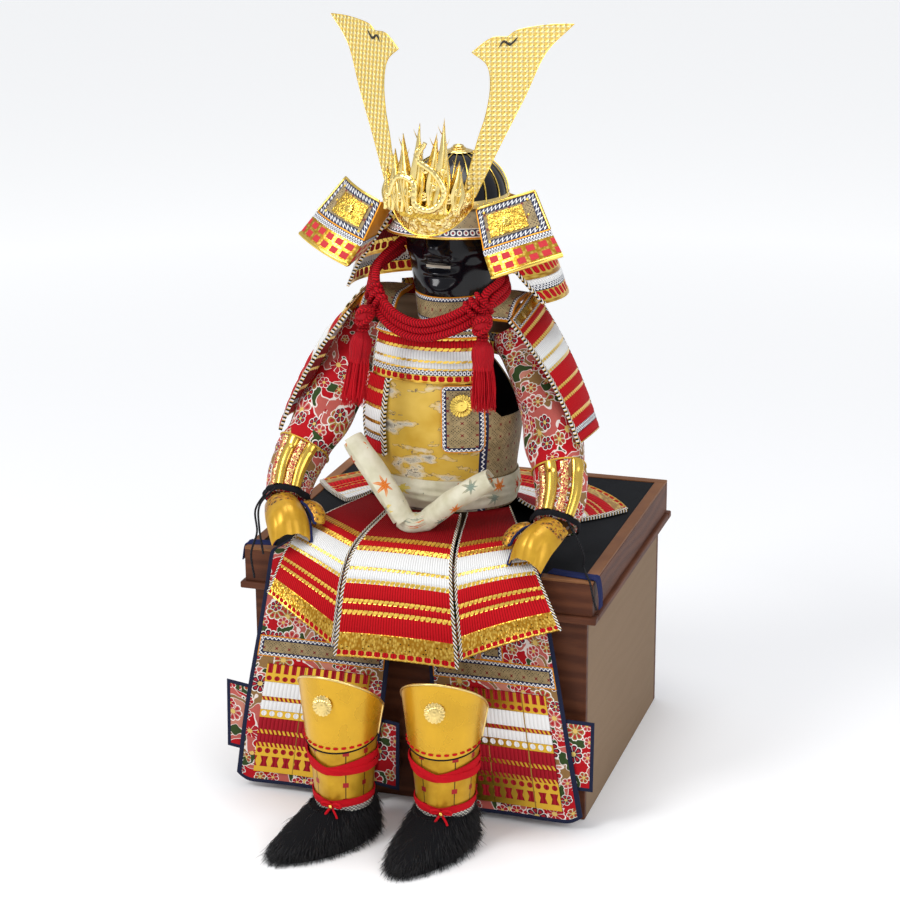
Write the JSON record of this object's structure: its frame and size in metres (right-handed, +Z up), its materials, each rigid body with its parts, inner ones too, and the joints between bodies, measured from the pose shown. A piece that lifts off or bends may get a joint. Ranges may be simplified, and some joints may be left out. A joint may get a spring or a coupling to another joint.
{
  "type": "child-size samurai armour seated on its wooden storage chest, with an inner wooden stand",
  "caption": "Child-size samurai great armour in red lacing, gold and brocade, with horned helmet and black mask, seated on its wooden chest.",
  "frame": {"origin": "middle of the chest's underside", "axes": "+Z up, -Y out of the armour's front, +X to the right of someone who looks at its front"},
  "size_m": [0.5384, 0.7044, 1.0738],
  "materials": {
    "wood": "satin stained wood",
    "felt": "charcoal felt",
    "gold": "bright gilt metal, engraved",
    "gold_lacquer": "satin gold lacquer",
    "red_lacing": "red braided lacing over gilt lames",
    "printed_leather": "printed tan leather, matte",
    "black_lacquer": "gloss black lacquer",
    "brocade": "woven brocade",
    "sash_cloth": "soft printed cotton",
    "black_fur": "long black fur",
    "navy_cloth": "plain navy cloth",
    "red_cord": "braided red silk cord",
    "black_cord": "thin black cord"
  },
  "bodies": {
    "root": {"boot_L": "black_fur", "boot_R": "black_fur", "chest_body": "wood", "chest_felt": "felt", "chest_lid": "wood", "chin_cord": "red_cord", "crest_base": "gold", "crest_flames": "gold", "crest_scroll": "gold", "do_back_plate": "red_lacing", "do_body": "printed_leather", "do_front_plate": "red_lacing", "face_mask": "black_lacquer", "fukigaeshi_L": "printed_leather", "fukigaeshi_R": "printed_leather", "haidate_L": "brocade", "haidate_R": "brocade", "haidate_band_L": "brocade", "haidate_band_R": "brocade", "haidate_tie_L": "navy_cloth", "haidate_tie_R": "navy_cloth", "hand_guard_L": "gold_lacquer", "hand_guard_R": "gold_lacquer", "helmet_bowl": "black_lacquer", "knee_plate_L": "gold_lacquer", "knee_plate_R": "gold_lacquer", "kusazuri_back": "red_lacing", "kusazuri_front": "red_lacing", "kusazuri_left": "red_lacing", "kusazuri_right": "red_lacing", "kuwagata_L": "gold", "kuwagata_R": "gold", "kyubi_plate": "printed_leather", "sash_belt": "sash_cloth", "sash_roll_L": "sash_cloth", "sash_roll_R": "sash_cloth", "sendan_plate": "red_lacing", "shikoro": "gold", "sleeve_L": "brocade", "sleeve_R": "brocade", "sode_L": "red_lacing", "sode_R": "red_lacing", "splint_L1": "gold", "splint_L2": "gold", "splint_R1": "gold", "splint_R2": "gold", "stand": "wood", "suneate_L": "gold_lacquer", "suneate_R": "gold_lacquer", "tassel_L": "red_cord", "tassel_R": "red_cord", "throat_guard": "printed_leather", "thumb_guard_L": "gold_lacquer", "thumb_guard_R": "gold_lacquer", "visor": "printed_leather", "watagami_L": "printed_leather", "watagami_R": "printed_leather", "wrist_cord_L1": "black_cord", "wrist_cord_L2": "black_cord", "wrist_cord_R1": "black_cord"}
  },
  "joints": []
}
